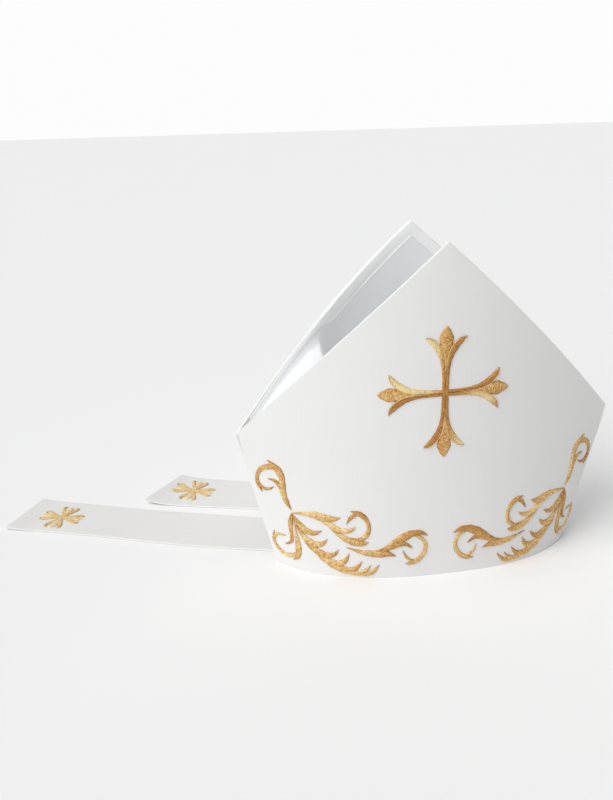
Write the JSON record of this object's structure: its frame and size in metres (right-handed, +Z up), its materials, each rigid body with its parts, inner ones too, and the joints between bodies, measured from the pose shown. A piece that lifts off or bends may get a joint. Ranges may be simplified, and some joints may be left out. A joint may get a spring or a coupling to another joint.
{
  "type": "bishop mitre",
  "caption": "Folding cloth mitre with two pointed panels, a satin pocket lining, gold embroidery and two lappets laid on the table.",
  "frame": {"origin": "centre of the head opening, on the table the mitre stands on", "axes": "+Z up to the points, -Y out of the embroidered front, +X to the wearer's left"},
  "size_m": [0.5315, 0.2291, 0.275],
  "materials": {
    "white_cloth": "smooth white cloth with a fine upright rib",
    "satin_lining": "soft bluish white satin",
    "gold_embroidery": "shiny gold satin stitch"
  },
  "bodies": {
    "root": {"front_cross": "gold_embroidery", "curl_upper_right": "gold_embroidery", "scroll_right": "gold_embroidery", "curl_inner_right": "gold_embroidery", "curl_upper_left": "gold_embroidery", "scroll_left": "gold_embroidery", "curl_inner_left": "gold_embroidery", "lappet_left_cross": "gold_embroidery", "lappet_right_cross": "gold_embroidery", "front_panel": "white_cloth", "back_panel": "white_cloth", "front_facing": "white_cloth", "back_facing": "white_cloth", "lappet_left": "white_cloth", "lappet_right": "white_cloth", "lining": "satin_lining"}
  },
  "joints": []
}
